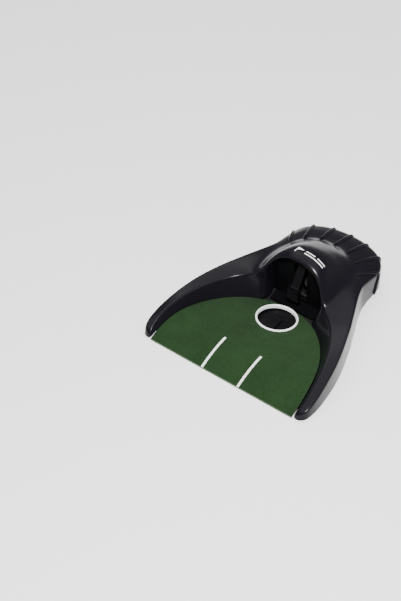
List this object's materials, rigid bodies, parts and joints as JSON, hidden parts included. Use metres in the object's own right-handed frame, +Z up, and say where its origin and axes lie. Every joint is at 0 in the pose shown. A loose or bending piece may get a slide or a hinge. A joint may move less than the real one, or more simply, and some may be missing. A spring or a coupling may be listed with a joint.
{
  "type": "putting cup",
  "caption": "Automatic putting cup: felt ramp between two curved arms, ringed cup, and a hooded battery-driven hammer that knocks the ball back.",
  "frame": {"origin": "centre of the footprint on the floor", "axes": "+X to the right seen from the player, +Y from the ramp's front edge to the back, +Z up"},
  "size_m": [0.2228, 0.2525, 0.0758],
  "materials": {
    "housing_black": "gloss, very dark",
    "matt_black": "fine texture",
    "felt": "short green felt",
    "white_plastic": "satin",
    "nylon": "dark nylon",
    "steel": "plated",
    "brass": "bright",
    "rubber": "matt",
    "cell_sleeve": "plain printed sleeve",
    "red_insulation": "insulated wire"
  },
  "bodies": {
    "housing": {"upper_housing": "housing_black", "base_plate": "matt_black", "ramp_deck": "matt_black", "cup_well": "matt_black", "strike_box": "matt_black", "gear_frame_left": "matt_black", "gear_frame_right": "matt_black", "frame_spacer_1": "matt_black", "frame_spacer_2": "matt_black", "frame_spacer_3": "matt_black", "battery_box": "matt_black", "switch_body": "matt_black", "trigger_bracket_left": "matt_black", "trigger_bracket_right": "matt_black", "leaf_block": "matt_black", "putting_felt": "felt", "cup_ring": "white_plastic", "motor_end_cap": "white_plastic", "motor_can": "steel", "hammer_shaft": "steel", "sector_gear_shaft": "steel", "compound_gear_shaft": "steel", "hammer_spring": "steel", "spring_post": "steel", "bumper_post": "steel", "trigger_pin": "steel", "base_screw_1": "steel", "base_screw_2": "steel", "base_screw_3": "steel", "base_screw_4": "steel", "contact_left": "brass", "contact_right_front": "brass", "contact_right_rear": "brass", "leaf_spring": "brass", "rest_bumper": "rubber", "rubber_foot_1": "rubber", "rubber_foot_2": "rubber", "rubber_foot_3": "rubber", "rubber_foot_4": "rubber", "battery_1": "cell_sleeve", "battery_2": "cell_sleeve", "battery_3": "cell_sleeve", "battery_4": "cell_sleeve", "wire_motor_to_switch": "red_insulation"},
    "hammer_arm": {"hammer": "matt_black", "hammer_pad": "rubber"},
    "sector": {"sector_gear": "nylon"},
    "compound": {"compound_gear": "nylon"},
    "rotor": {"motor_shaft": "steel", "motor_pinion": "brass"},
    "trigger": {"trigger_lever": "matt_black"},
    "door": {"battery_door": "matt_black"},
    "knob": {"switch_knob": "white_plastic"}
  },
  "joints": [
    {"name": "hammer_swing", "type": "hinge", "parent": "housing", "child": "hammer_arm", "pos_m": [0, 0.0287, 0.06], "axis": [1, 0, 0], "range_deg": [0, 22], "stiffness_Nm_per_rad": 0.02, "springref_deg": -28.65, "deforming": ["hammer_spring"]},
    {"name": "sector_spin", "type": "hinge", "parent": "housing", "child": "sector", "pos_m": [0, 0.05164, 0.04394], "axis": [1, 0, 0], "range_deg": [-55.5, 0.5]},
    {"name": "compound_spin", "type": "hinge", "parent": "housing", "child": "compound", "pos_m": [0, 0.04625, 0.02385], "axis": [1, 0, 0], "range_deg": [-1, 185]},
    {"name": "motor_spin", "type": "hinge", "parent": "housing", "child": "rotor", "pos_m": [0, 0.06075, 0.03061], "axis": [1, 0, 0], "range_deg": [-555, 5]},
    {"name": "trigger_tilt", "type": "hinge", "parent": "housing", "child": "trigger", "pos_m": [0, -0.0543, 0.0082], "axis": [1, 0, 0], "range_deg": [-2, 0], "stiffness_Nm_per_rad": 0.01, "springref_deg": 17.19},
    {"name": "door_tilt", "type": "hinge", "parent": "housing", "child": "door", "pos_m": [0, 0.0653, 0.0013], "axis": [1, 0, 0], "range_deg": [-85, 0]},
    {"name": "switch_slide", "type": "slide", "parent": "housing", "child": "knob", "axis": [0, 1, 0], "range_m": [0, 0.004]}
  ],
  "couplings": [
    {"joint": "sector_spin", "follows": "hammer_swing", "ratio": -2.5},
    {"joint": "compound_spin", "follows": "hammer_swing", "ratio": 8.3333},
    {"joint": "motor_spin", "follows": "hammer_swing", "ratio": -25}
  ]
}
